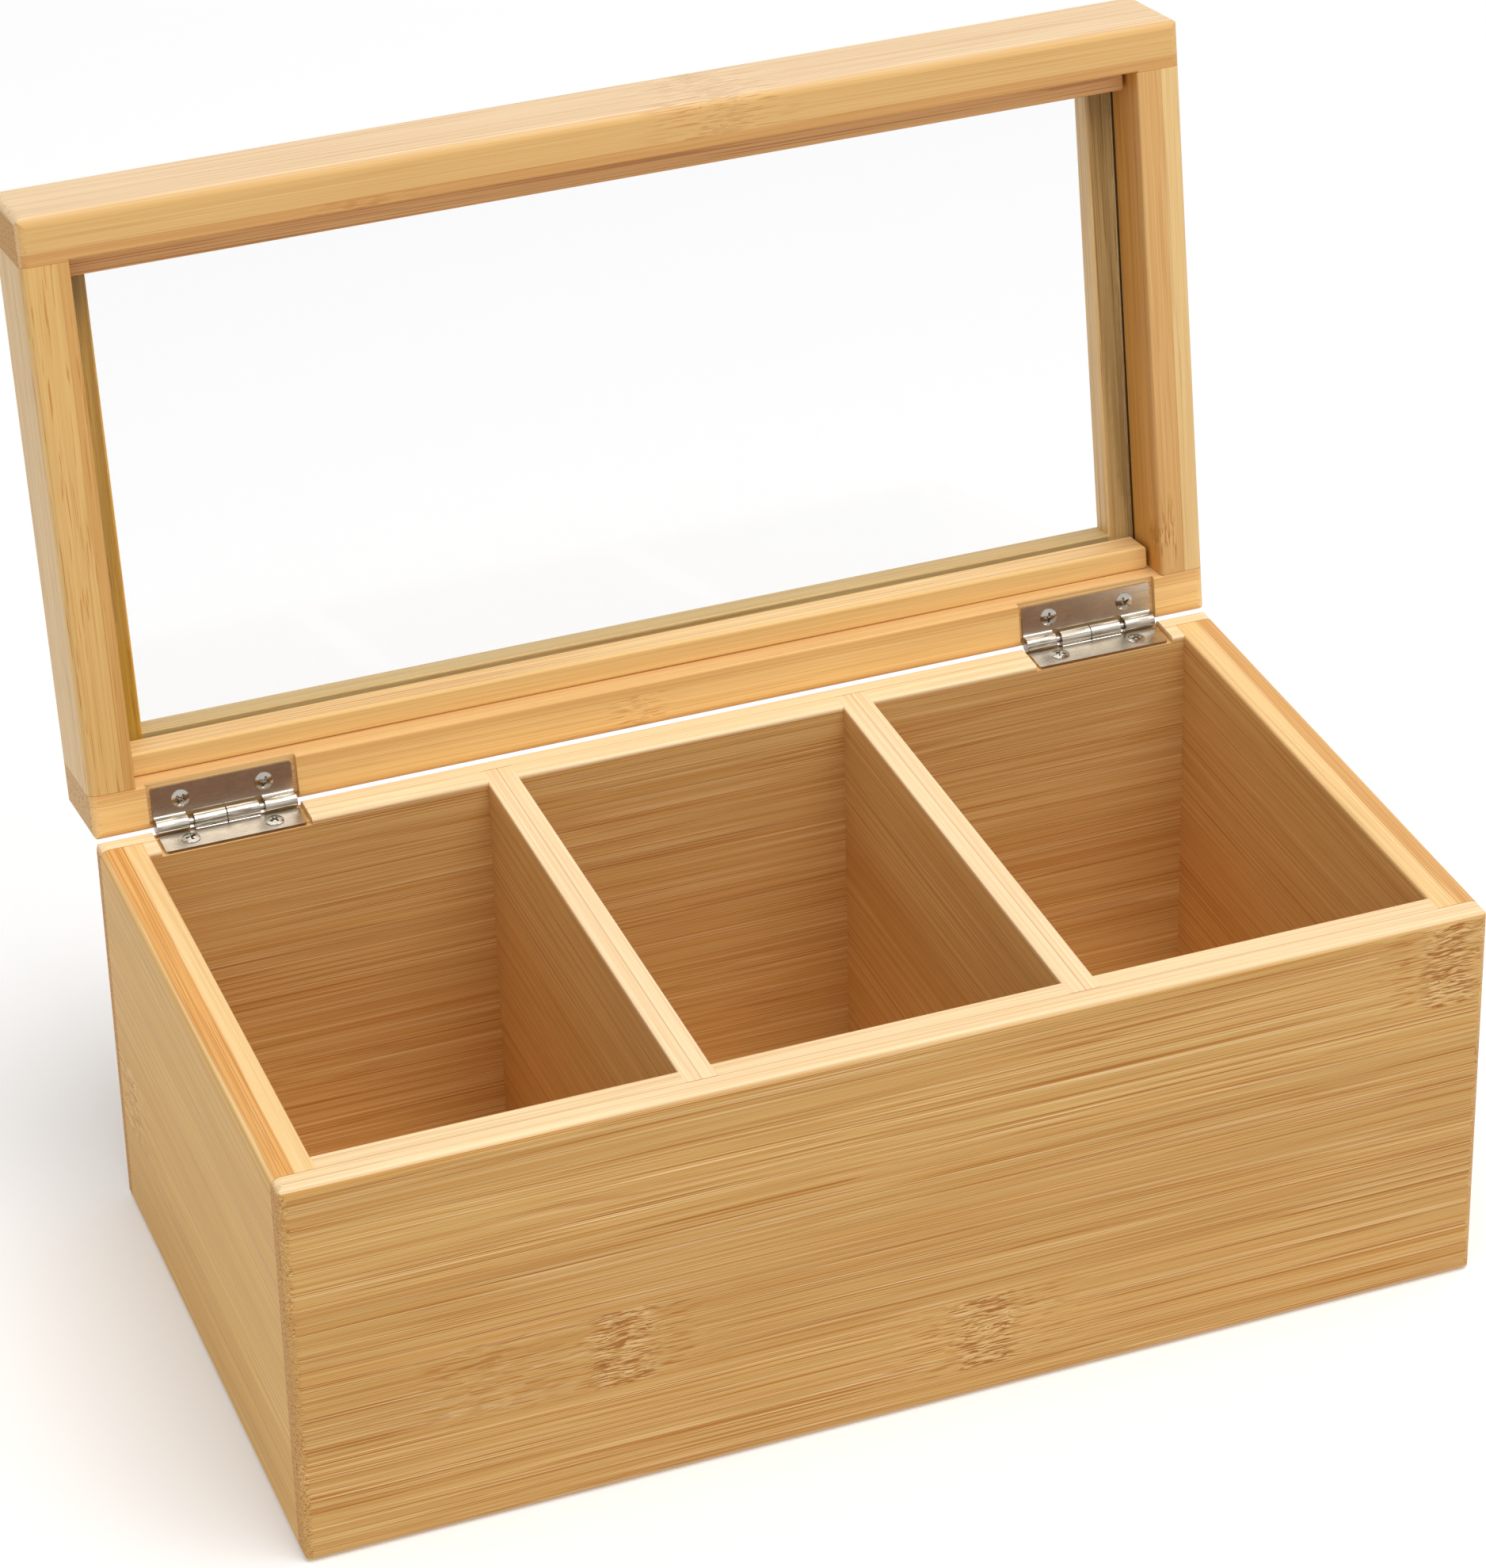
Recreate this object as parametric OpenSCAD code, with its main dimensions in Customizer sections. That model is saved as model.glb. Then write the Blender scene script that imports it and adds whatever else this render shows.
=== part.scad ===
// Tea bag organizer box: a bamboo box with two fixed dividers and a glazed,
// hinged lid. Millimetres. X runs along the length, +Y to the hinged back,
// +Z up. The origin is the middle of the underside.
// The lid is drawn shut and then turned back about the hinge pins.

/* [Box] */
// outside length of the box and of the lid
box_w = 300; // [240:1:380]
// outside depth, front to back
box_d = 160; // [130:1:220]
// height of the box without its lid
box_h = 105; // [70:1:140]
// thickness of the four walls
wall_t = 11; // [8:0.5:16]
// wood left outside every housing and rabbet in the walls
lap_t = 5.5; // [3:0.25:7]
// thickness of the bottom panel
bottom_t = 5; // [3:0.5:8]
// radius of the sanded outer arrises
edge_r = 2.5; // [1:0.25:3]
// radius of the arrises round the mouths of the compartments
mouth_r = 0.9; // [0.3:0.1:1.5]

/* [Dividers] */
// thickness of the two dividers
divider_t = 8; // [5:0.5:12]
// radius of the dividers' top arrises
divider_r = 0.5; // [0.2:0.1:1.2]

/* [Lid] */
// height of the lid frame when shut
lid_h = 28; // [20:0.5:40]
// thickness of the rails and stiles
frame_t = 12; // [9:0.5:16]
// how far the lip reaches into the opening, past the frame
lip_w = 7; // [4:0.5:10]
// thickness of the lip
lip_t = 9; // [6:0.5:12]
// radius of the lip's outer arris
lip_r = 2.6; // [1:0.2:4]
// radius of the frame's inner arrises
frame_r = 0.6; // [0.2:0.1:1]
// gap between the rim and the shut lid
lid_gap = 0.6; // [0.3:0.05:1]
// how far the lid is turned back in the file, in degrees
open_angle = 98.4; // [60:0.2:100]

/* [Glazing] */
// thickness of the glass
glass_t = 2.6; // [2:0.1:4]
// gap round the glass
glass_gap = 0.6; // [0.3:0.1:1.2]
// how far the beads stand off the rails
bead_w = 6.2; // [4:0.2:8]
// strip of rail left bare beside each bead
bead_set = 7; // [4:0.5:9]
// gap at each end of the beads
bead_gap = 1.1; // [0.5:0.1:2]
// radius of the beads' arrises
bead_r = 0.8; // [0.3:0.1:1.5]

/* [Hinges] */
// length of each hinge
hinge_l = 36; // [28:0.5:50]
// distance of each hinge's middle from its end of the box
hinge_in = 33.5; // [24:0.5:70]
// diameter of the knuckles
knuckle_d = 4; // [3.6:0.1:5]
// thickness of the leaves
leaf_t = 0.9; // [0.7:0.05:1.1]
// reach of each leaf from the pin's axis
leaf_w = 10; // [9:0.25:12]
// corner radius of the leaves
leaf_r = 0.7; // [0.3:0.1:1.5]
// gap between an outer knuckle and its neighbour
knuckle_gap = 1.4; // [0.4:0.1:2]
// seam between the two middle knuckles
seam = 0.12; // [0.1:0.01:0.3]
// how far the pin's axis stands inside the back face
pin_set = 0.7; // [0.5:0.1:1.5]
// diameter of the pins
pin_d = 1.9; // [1.4:0.1:2.1]
// radial clearance of the pin in the lid's knuckles
pin_run = 0.05; // [0.02:0.01:0.1]
// radial clearance of the pin in the box's knuckles
pin_held = 0.02; // [0.01:0.01:0.05]
// space between the knuckles and the wood or leaf they turn past
knuckle_run = 0.35; // [0.3:0.05:0.6]
// extra length of the mortises at each end of a hinge
mortise_gap = 1.2; // [0.4:0.1:2]

/* [Screws] */
// diameter of the screw heads
head_d = 4.6; // [4:0.1:5]
// how far the rounded heads stand proud of the leaf
head_rise = 0.6; // [0.3:0.05:0.7]
// height of the straight rim of the heads
rim_h = 0.2; // [0.1:0.05:0.25]
// width of the arms of the cross recess
cross_w = 0.62; // [0.4:0.02:0.8]
// span of the cross recess at the top of the head
cross_d = 2.9; // [2:0.1:3.4]
// depth of the cross recess
cross_h = 1.1; // [0.8:0.1:1.3]
// diameter of the screw shanks
shank_d = 2.4; // [2:0.1:2.8]
// length of the screws under the leaf
screw_l = 9; // [6:0.5:14]
// length of the screws' tapered points
point_l = 2; // [1:0.25:3]
// width left at the tip of the points
tip_d = 0.3; // [0.1:0.1:0.6]
// room left in the wood past each point
point_gap = 0.5; // [0.2:0.1:1]
// distance between a leaf's two screws
screw_pitch = 21.4; // [16:0.2:26]
// distance of the screws from the pin's axis
screw_out = 6.15; // [5:0.05:7]
// clearance round the screws
screw_fit = 0.02; // [0.01:0.01:0.05]

/* [Hidden] */
$fn = 48;
hw = box_w / 2;
hd = box_d / 2;
in_w = hw - wall_t;              // inner faces of the side walls
in_d = hd - wall_t;              // inner faces of the front and back walls
hs_w = hw - lap_t;               // bottoms of the housings, across
hs_d = hd - lap_t;               // bottoms of the housings, front to back
bay_w = (2 * in_w - 2 * divider_t) / 3;
div_x = bay_w / 2 + divider_t / 2;
z0 = box_h + lid_gap;            // underside of the shut lid
z1 = z0 + lid_h;
fr_w = hw - frame_t;             // inner faces of the stiles
fr_d = hd - frame_t;             // inner faces of the rails
lp_w = fr_w - lip_w;             // edges of the glazed opening
lp_d = fr_d - lip_w;
z_lip = z1 - lip_t;              // the glass lies against this face
z_glass = z_lip - glass_t;
z_bead = z0 + bead_set;
pin_y = hd - pin_set;
pin_z = box_h + lid_gap / 2;
kr = knuckle_d / 2;
seat = kr;                       // from the pin's axis to a mortise's floor
face = kr - leaf_t;              // from the pin's axis to a leaf's open face
hx = hw - hinge_in;
kn_l = (hinge_l - 2 * knuckle_gap - seam) / 4;
// start of each knuckle along the hinge
kn_x = [-hinge_l / 2, -seam / 2 - kn_l, seam / 2, hinge_l / 2 - kn_l];
far = 2;                         // overshoot of the cutting tools
eps = 0.1;                       // overlap of shapes that are joined

// ---------------------------------------------------------------- helpers

// box between two corners
module block(a, b) {
    translate(a) cube([b[0] - a[0], b[1] - a[1], b[2] - a[2]]);
}

// rectangle with round corners, between (ax, ay) and (bx, by)
module round_rect(ax, ay, bx, by, r) {
    translate([ax + r, ay]) square([bx - ax - 2 * r, by - ay]);
    translate([ax, ay + r]) square([bx - ax, by - ay - 2 * r]);
    translate([ax + r, ay + r]) circle(r = r);
    translate([bx - r, ay + r]) circle(r = r);
    translate([ax + r, by - r]) circle(r = r);
    translate([bx - r, by - r]) circle(r = r);
}

// what stays of a box-shaped body once all its outer arrises are sanded
module sanded(za, zb) {
    intersection() {
        translate([0, 0, za])
            linear_extrude(zb - za)
                round_rect(-hw, -hd, hw, hd, edge_r);
        translate([0, hd, 0]) rotate([90, 0, 0])
            linear_extrude(box_d)
                round_rect(-hw, za, hw, zb, edge_r);
        translate([-hw, 0, 0]) rotate([90, 0, 90])
            linear_extrude(box_w)
                round_rect(-hd, za, hd, zb, edge_r);
        children();
    }
}

// opening from a to b in a face at height 0 (wood below), its arrises
// rounded by ra and rb
module flare(a, b, ra, rb) {
    translate([a, -2 * far]) square([b - a, 3 * far]);
    difference() {
        translate([a - ra, -ra]) square([ra + far, ra + far]);
        translate([a - ra, -ra]) circle(r = ra);
    }
    difference() {
        translate([b - far, -rb]) square([rb + far, rb + far]);
        translate([b + rb, -rb]) circle(r = rb);
    }
}

// cutter for the rounded mouth of a rectangular opening in the face z = zt.
// up is 1 where the wood lies under that face, and -1 where it lies over
module mouth(xa, xb, ya, yb, zt, rxa, rxb, ry, up = 1) {
    translate([0, 0, zt]) scale([1, 1, up]) intersection() {
        translate([0, yb + 2 * far, 0]) rotate([90, 0, 0])
            linear_extrude(yb - ya + 4 * far) flare(xa, xb, rxa, rxb);
        translate([xa - 2 * far, 0, 0]) rotate([90, 0, 90])
            linear_extrude(xb - xa + 4 * far) flare(ya, yb, ry, ry);
    }
}

// the mouths of the three compartments
module bay_mouths() {
    for (s = [-1, 1]) scale([s, 1, 1])
        mouth(div_x + divider_t / 2, in_w, -in_d, in_d, box_h,
              divider_r, mouth_r, mouth_r);
    mouth(-bay_w / 2, bay_w / 2, -in_d, in_d, box_h,
          divider_r, divider_r, mouth_r);
}

// a shut lid part, turned back about the pins
module opened() {
    translate([0, pin_y, pin_z]) rotate([-open_angle, 0, 0])
        translate([0, -pin_y, -pin_z]) children();
}

// ------------------------------------------------------------ box carcass

// back wall before its mortises; the front wall is its mirror image
module long_wall() {
    sanded(0, box_h) difference() {
        block([-hw, in_d, 0], [hw, hd, box_h]);
        for (s = [-1, 1]) scale([s, 1, 1]) {
            // rabbet for the side wall's end
            block([in_w, in_d - far, -far], [hw + far, hs_d, box_h + far]);
            // housing for the divider's end
            block([div_x - divider_t / 2, in_d - far, -far],
                  [div_x + divider_t / 2, hs_d, box_h + far]);
        }
        // rabbet for the bottom panel
        block([-hs_w, in_d - far, -far], [hs_w, hs_d, bottom_t]);
        bay_mouths();
    }
}

module side_wall() {
    sanded(0, box_h) difference() {
        block([in_w, -hs_d, 0], [hw, hs_d, box_h]);
        block([in_w - far, -hd, -far], [hs_w, hd, bottom_t]);
        bay_mouths();
    }
}

module divider() {
    difference() {
        block([div_x - divider_t / 2, -hs_d, bottom_t],
              [div_x + divider_t / 2, hs_d, box_h]);
        bay_mouths();
    }
}

module front_wall() {
    color([0.86, 0.67, 0.40]) scale([1, -1, 1]) long_wall();
}

module back_wall() {
    color([0.87, 0.68, 0.41]) difference() {
        long_wall();
        for (s = [-1, 1]) translate([s * hx, pin_y, pin_z]) {
            mortise();
            screw_holes();
        }
    }
}

module left_wall() {
    color([0.84, 0.65, 0.39]) scale([-1, 1, 1]) side_wall();
}

module right_wall() {
    color([0.84, 0.65, 0.39]) side_wall();
}

module bottom_panel() {
    color([0.88, 0.71, 0.46])
        block([-hs_w, -hs_d, 0], [hs_w, hs_d, bottom_t]);
}

module left_divider() {
    color([0.89, 0.72, 0.46]) scale([-1, 1, 1]) divider();
}

module right_divider() {
    color([0.89, 0.72, 0.46]) divider();
}

// -------------------------------------------------------------- lid frame

// cuts shared by the four frame pieces: the inner arrises all round
module frame_mouths() {
    mouth(-fr_w, fr_w, -fr_d, fr_d, z0, frame_r, frame_r, frame_r, -1);
    mouth(-lp_w, lp_w, -lp_d, lp_d, z_lip, frame_r, frame_r, frame_r, -1);
    mouth(-lp_w, lp_w, -lp_d, lp_d, z1, lip_r, lip_r, lip_r);
}

module rail() {
    sanded(z0, z1) difference() {
        union() {
            block([-hw, fr_d, z0], [hw, hd, z1]);
            block([-lp_w, lp_d, z_lip], [lp_w, fr_d + eps, z1]);
        }
        frame_mouths();
    }
}

module stile() {
    sanded(z0, z1) difference() {
        union() {
            block([fr_w, -fr_d, z0], [hw, fr_d, z1]);
            block([lp_w, -fr_d, z_lip], [fr_w + eps, fr_d, z1]);
        }
        frame_mouths();
    }
}

module lid_front_rail() {
    color([0.89, 0.71, 0.44]) opened() scale([1, -1, 1]) rail();
}

module lid_back_rail() {
    color([0.88, 0.69, 0.42]) opened() difference() {
        rail();
        for (s = [-1, 1]) translate([s * hx, pin_y, pin_z])
            scale([1, 1, -1]) {
                mortise();
                screw_holes();
            }
    }
}

module lid_left_stile() {
    color([0.88, 0.69, 0.41]) opened() scale([-1, 1, 1]) stile();
}

module lid_right_stile() {
    color([0.87, 0.67, 0.40]) opened() stile();
}

// ---------------------------------------------------------------- glazing

module glass_panel() {
    color([0.80, 0.88, 0.86, 0.35]) opened()
        block([-fr_w + glass_gap, -fr_d + glass_gap, z_glass],
              [fr_w - glass_gap, fr_d - glass_gap, z_lip]);
}

module bead() {
    end = fr_w - bead_gap;
    difference() {
        translate([-end, 0, 0]) rotate([90, 0, 90])
            linear_extrude(2 * end)
                round_rect(fr_d - bead_w, z_bead, fr_d, z_glass, bead_r);
        for (s = [-1, 1])
            translate([s * end, fr_d - bead_w, z_bead - far])
                linear_extrude(z_glass - z_bead + 2 * far) scale([-s, 1])
                    difference() {
                        translate([-far, -far]) square(bead_r + far);
                        translate([bead_r, bead_r]) circle(r = bead_r);
                    }
    }
}

module lid_front_bead() {
    color([0.84, 0.62, 0.38]) opened() scale([1, -1, 1]) bead();
}

module lid_back_bead() {
    color([0.87, 0.66, 0.42]) opened() bead();
}

// ----------------------------------------------------------------- hinges
// drawn about the pin's axis: leaves reach towards -Y, box leaf below

// let-in seat for a leaf, with a trough under the turning knuckles
module mortise() {
    half = hinge_l / 2 + mortise_gap;
    block([-half, -wall_t - frame_t, -seat], [half, wall_t, seat]);
    translate([-half, 0, 0]) rotate([0, 90, 0])
        cylinder(r = kr + knuckle_run, h = 2 * half);
}

module screw_holes() {
    for (x = [-1, 1])
        translate([x * screw_pitch / 2, -screw_out,
                   -seat - screw_l - point_gap])
            cylinder(d = shank_d + 2 * screw_fit,
                     h = screw_l + point_gap + far);
}

// outline of a leaf; own lists the knuckles rolled from it
module leaf_plan(own) {
    edge = kr + knuckle_run;
    translate([-hinge_l / 2, -leaf_w + leaf_r])
        square([hinge_l, leaf_w - leaf_r - edge]);
    translate([-hinge_l / 2 + leaf_r, -leaf_w])
        square([hinge_l - 2 * leaf_r, leaf_r + eps]);
    for (s = [-1, 1])
        translate([s * (hinge_l / 2 - leaf_r), -leaf_w + leaf_r])
            circle(r = leaf_r);
    for (i = own)
        translate([kn_x[i], -edge - eps]) square([kn_l, edge + eps]);
}

module leaf(own, bore) {
    difference() {
        union() {
            translate([0, 0, -kr]) linear_extrude(leaf_t) leaf_plan(own);
            for (i = own) translate([kn_x[i], 0, 0]) rotate([0, 90, 0])
                cylinder(r = kr, h = kn_l);
        }
        translate([-hinge_l, 0, 0]) rotate([0, 90, 0])
            cylinder(r = bore, h = 2 * hinge_l);
        for (x = [-1, 1]) translate([x * screw_pitch / 2, -screw_out, 0]) {
            translate([0, 0, -kr])
                cylinder(d1 = shank_d + 2 * screw_fit,
                         d2 = head_d + 2 * screw_fit, h = leaf_t);
            translate([0, 0, -face])
                cylinder(d = head_d + 2 * screw_fit, h = far);
            translate([0, 0, -kr - far])
                cylinder(d = shank_d + 2 * screw_fit, h = far + eps);
        }
    }
}

// raised countersunk screw with a cross recess turned by a degrees
module screw(a) {
    dome = head_rise - rim_h;
    ball = (dome * dome + head_d * head_d / 4) / (2 * dome);
    top = -face + head_rise;
    difference() {
        union() {
            translate([0, 0, -kr])
                cylinder(d1 = shank_d, d2 = head_d, h = leaf_t);
            translate([0, 0, -face]) cylinder(d = head_d, h = rim_h);
            intersection() {
                translate([0, 0, top - ball]) sphere(r = ball);
                translate([0, 0, -face]) cylinder(d = head_d, h = far);
            }
            translate([0, 0, -kr - screw_l + point_l])
                cylinder(d = shank_d, h = screw_l - point_l + eps);
            translate([0, 0, -kr - screw_l])
                cylinder(d1 = tip_d, d2 = shank_d, h = point_l);
        }
        // the recess narrows to half its span at its floor
        translate([0, 0, top - cross_h]) rotate([0, 0, a]) intersection() {
            union() {
                block([-cross_d, -cross_w / 2, 0], [cross_d, cross_w / 2, far]);
                block([-cross_w / 2, -cross_d, 0], [cross_w / 2, cross_d, far]);
            }
            cylinder(d1 = cross_d / 2, d2 = 1.5 * cross_d, h = 2 * cross_h);
        }
    }
}

module screws(a, b) {
    translate([-screw_pitch / 2, -screw_out, 0]) screw(a);
    translate([screw_pitch / 2, -screw_out, 0]) screw(b);
}

module pin() {
    translate([-hinge_l / 2, 0, 0]) rotate([0, 90, 0])
        cylinder(d = pin_d, h = hinge_l);
}

module at_hinge(s) {
    translate([s * hx, pin_y, pin_z]) children();
}

module box_leaf() {
    leaf([1, 2], pin_d / 2 + pin_held);
}

module lid_leaf() {
    scale([1, 1, -1]) leaf([0, 3], pin_d / 2 + pin_run);
}

module left_hinge_box_leaf() {
    color([0.80, 0.80, 0.79]) at_hinge(-1) box_leaf();
}

module left_hinge_lid_leaf() {
    color([0.80, 0.80, 0.79]) opened() at_hinge(-1) lid_leaf();
}

module left_hinge_pin() {
    color([0.72, 0.72, 0.70]) at_hinge(-1) pin();
}

module left_hinge_box_screws() {
    color([0.84, 0.84, 0.83]) at_hinge(-1) screws(12, 31);
}

module left_hinge_lid_screws() {
    color([0.84, 0.84, 0.83]) opened() at_hinge(-1)
        scale([1, 1, -1]) screws(40, 25);
}

module right_hinge_box_leaf() {
    color([0.80, 0.80, 0.79]) at_hinge(1) box_leaf();
}

module right_hinge_lid_leaf() {
    color([0.80, 0.80, 0.79]) opened() at_hinge(1) lid_leaf();
}

module right_hinge_pin() {
    color([0.72, 0.72, 0.70]) at_hinge(1) pin();
}

module right_hinge_box_screws() {
    color([0.84, 0.84, 0.83]) at_hinge(1) screws(55, 20);
}

module right_hinge_lid_screws() {
    color([0.84, 0.84, 0.83]) opened() at_hinge(1)
        scale([1, 1, -1]) screws(8, 70);
}

// ------------------------------------------------------------------ nodes

front_wall();
back_wall();
left_wall();
right_wall();
bottom_panel();
left_divider();
right_divider();
lid_front_rail();
lid_back_rail();
lid_left_stile();
lid_right_stile();
glass_panel();
lid_front_bead();
lid_back_bead();
left_hinge_box_leaf();
left_hinge_lid_leaf();
left_hinge_pin();
left_hinge_box_screws();
left_hinge_lid_screws();
right_hinge_box_leaf();
right_hinge_lid_leaf();
right_hinge_pin();
right_hinge_box_screws();
right_hinge_lid_screws();
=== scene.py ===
"""Looks of the bamboo tea bag organizer box: wood, glass, nickel, floor, light and camera.

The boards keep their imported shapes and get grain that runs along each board.
Board coordinates are millimetres: g along the grain, t across the wide face
and n through the thickness, from the outside in.
"""

import logging
import math
from dataclasses import dataclass
from enum import Enum

import bmesh
import bpy
import numpy as np
from mathutils import Matrix, Vector


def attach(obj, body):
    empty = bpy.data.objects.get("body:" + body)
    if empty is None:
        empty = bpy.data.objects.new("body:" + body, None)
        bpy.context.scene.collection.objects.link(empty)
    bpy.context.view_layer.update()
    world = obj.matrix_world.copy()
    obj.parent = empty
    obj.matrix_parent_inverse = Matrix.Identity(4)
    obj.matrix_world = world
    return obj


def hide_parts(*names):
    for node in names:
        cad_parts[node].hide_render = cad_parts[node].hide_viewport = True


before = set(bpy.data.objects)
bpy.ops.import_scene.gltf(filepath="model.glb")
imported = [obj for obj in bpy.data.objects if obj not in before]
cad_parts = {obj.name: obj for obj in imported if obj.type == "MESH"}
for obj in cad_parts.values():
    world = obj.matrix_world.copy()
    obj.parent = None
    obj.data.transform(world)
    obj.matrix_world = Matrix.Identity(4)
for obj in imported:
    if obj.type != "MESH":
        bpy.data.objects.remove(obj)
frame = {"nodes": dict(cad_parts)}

log = logging.getLogger("organizer_box")
Rgb = tuple[float, float, float]
Triple = tuple[float, float, float]
Socket = bpy.types.NodeSocket
MM = 1000.0

# noises of the bamboo: their stretch in 1/mm along the grain, across it and
# through the board, then detail and roughness
GRAINS: dict[str, tuple[Triple, float, float]] = {
    "broad": ((0.005, 0.09, 0.09), 1.0, 0.5),
    "streak": ((0.006, 1.15, 1.15), 2.0, 0.6),
    "hair": ((0.012, 3.0, 3.0), 1.0, 0.7),
    "crowd": ((0.005, 0.32, 0.32), 1.0, 0.5),
    "long": ((0.0075, 2.9, 2.9), 1.0, 0.6),
    "faint": ((0.010, 3.4, 3.4), 1.0, 0.5),
    "dense": ((0.012, 2.6, 2.6), 1.0, 0.5),
    "middle": ((0.10, 2.3, 2.3), 1.0, 0.5),
    "sparse": ((0.055, 1.9, 1.9), 1.0, 0.5),
    "burst": ((0.20, 2.7, 2.7), 1.0, 0.5),
    "bright": ((0.007, 3.0, 3.0), 1.0, 0.5),
}
# near-black painted shadow for the gap beside the glass
GAP_SHADOW_COLOUR: Rgb = (0.012, 0.010, 0.004)
PORE_COLOUR: Rgb = (0.085, 0.035, 0.012)
BURNT_SHARE: Rgb = (0.72, 0.62, 0.5)
WOOD_BUMP = 0.35
WOOD_BUMP_M = 0.00012


def paint(red: float, green: float, blue: float) -> Rgb:
    """Turns a screen colour of 0 to 255 into the linear colour that shaders take.

    Args:
        red, green, blue: the screen colour.
    Returns:
        The same colour, linear.
    """
    c = np.array([red, green, blue]) / 255
    return tuple(np.where(c <= 0.04045, c / 12.92, ((c + 0.055) / 1.055) ** 2.4).tolist())


# ------------------------------------------------------------ node writing


class Graph:
    """Writes one shader node tree, a call to each node.

    Args of its methods are sockets, or plain values for unlinked inputs.
    """

    def __init__(self, tree: bpy.types.NodeTree) -> None:
        """Starts on an empty tree."""
        self.tree = tree
        tree.nodes.clear()

    def put(self, value: object, target: Socket) -> None:
        """Links a socket to the target, or sets the target's own value.

        Args:
            value: a socket, a number, or a tuple of three.
            target: the input socket.
        """
        if isinstance(value, Socket):
            self.tree.links.new(value, target)
        elif isinstance(value, tuple) and target.type == "RGBA":
            target.default_value = (*value[:3], 1.0)
        else:
            target.default_value = value

    def node(self, kind: str, inputs: dict | None = None, **settings: object) -> bpy.types.Node:
        """Adds a node.

        Args:
            kind: Blender's name of the node, without ShaderNode.
            inputs: values or sockets by input name or number.
            settings: properties of the node.
        Returns:
            The node.
        """
        made = self.tree.nodes.new("ShaderNode" + kind)
        for name, value in settings.items():
            setattr(made, name, value)
        for key, value in (inputs or {}).items():
            self.put(value, made.inputs[key])
        return made

    def math(self, operation: str, *args: object, clamp: bool = False) -> Socket:
        """One Math node on its arguments, and its output."""
        made = self.node("Math", dict(enumerate(args)), operation=operation, use_clamp=clamp)
        return made.outputs[0]

    def vector(self, operation: str, a: object, b: object) -> Socket:
        """One Vector Math node, and its output."""
        return self.node("VectorMath", {0: a, 1: b}, operation=operation).outputs[0]

    def ramp(self, value: object, low: float | Socket, high: float | Socket, start: float = 0.0,
             end: float = 1.0) -> Socket:
        """Smooth step, with an S curve between its ends.

        Args:
            value: what the step looks at.
            low, high: where the curve starts and ends.
            start, end: the result below low and above high.
        Returns:
            The result.
        """
        made = self.node("MapRange", {0: value, 1: low, 2: high, 3: start, 4: end},
                         interpolation_type="SMOOTHSTEP")
        return made.outputs[0]

    def mix(self, share: object, a: object, b: object, blend: str = "MIX") -> Socket:
        """Mixes two colours.

        Args:
            share: how much of b.
            a, b: the colours.
            blend: Blender's name of the blend.
        Returns:
            The mixed colour.
        """
        made = self.node("Mix", data_type="RGBA", blend_type=blend)
        for value, target in ((share, made.inputs[0]), (a, made.inputs[6]), (b, made.inputs[7])):
            self.put(value, target)
        return made.outputs[2]

    def noise(self, point: object, scale: Triple, detail: float = 1.0, rough: float = 0.5) -> Socket:
        """Noise whose grains are stretched by a scale for each axis, in 1/mm."""
        return self.node("TexNoise", {"Vector": self.vector("MULTIPLY", point, scale),
                                      "Scale": 1.0, "Detail": detail, "Roughness": rough}).outputs[0]

    def split(self, point: object) -> tuple[Socket, Socket, Socket]:
        """The three numbers of a vector."""
        return tuple(self.node("SeparateXYZ", {0: point}).outputs)

    def join(self, x: object, y: object, z: object) -> Socket:
        """A vector of three numbers."""
        return self.node("CombineXYZ", {0: x, 1: y, 2: z}).outputs[0]


def new_group(name: str, inputs: dict[str, object], outputs: dict[str, str]
              ) -> tuple[Graph, dict[str, Socket], bpy.types.Node]:
    """Makes a shader node group with named sockets.

    Args:
        name: the group's name.
        inputs: each input's name and its usual value; its kind follows from the value.
        outputs: each output's name and kind.
    Returns:
        The graph to write in, the inputs' sockets by name, and the output node.
    """
    tree = bpy.data.node_groups.new(name, "ShaderNodeTree")
    graph = Graph(tree)
    for key, value in inputs.items():
        if isinstance(value, float):
            kind = "NodeSocketFloat"
        else:
            kind = "NodeSocketColor" if key.endswith("Colour") else "NodeSocketVector"
        made = tree.interface.new_socket(key, in_out="INPUT", socket_type=kind)
        made.default_value = (*value, 1.0) if kind == "NodeSocketColor" else value
    for key, kind in outputs.items():
        tree.interface.new_socket(key, in_out="OUTPUT", socket_type="NodeSocket" + kind)
    source = tree.nodes.new("NodeGroupInput")
    return graph, {s.name: s for s in source.outputs if s.name}, tree.nodes.new("NodeGroupOutput")


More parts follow.
